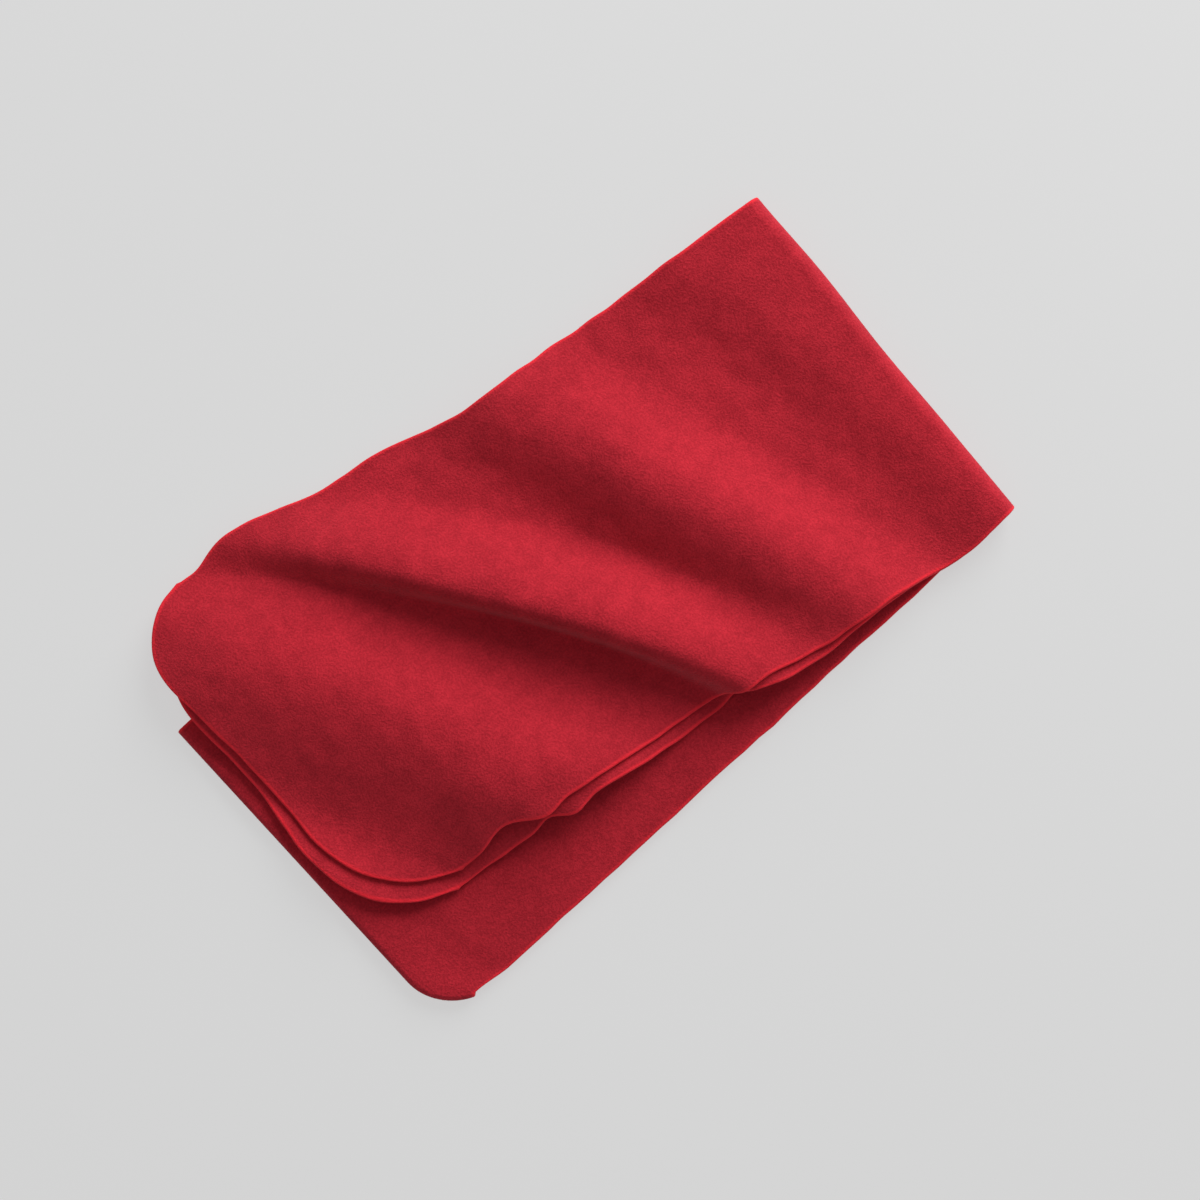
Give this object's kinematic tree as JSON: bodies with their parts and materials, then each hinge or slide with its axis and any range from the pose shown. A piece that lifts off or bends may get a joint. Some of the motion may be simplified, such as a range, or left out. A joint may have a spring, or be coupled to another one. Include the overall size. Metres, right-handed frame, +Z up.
{
  "type": "fleece scarf",
  "caption": "Long plain fleece neck scarf with rounded ends, folded in half and in half again and laid flat.",
  "frame": {"origin": "centre of the folded scarf's footprint, on the surface that it lies on", "axes": "+X along the folded scarf from the middle fold towards the cross fold, +Y across it towards the side where the upper pair overhangs, +Z up"},
  "size_m": [0.4938, 0.323, 0.0395],
  "materials": {
    "red_fleece": "matte brushed nap, anti-pill polyester fleece"
  },
  "bodies": {
    "root": {"fleece_scarf": "red_fleece"}
  },
  "joints": []
}
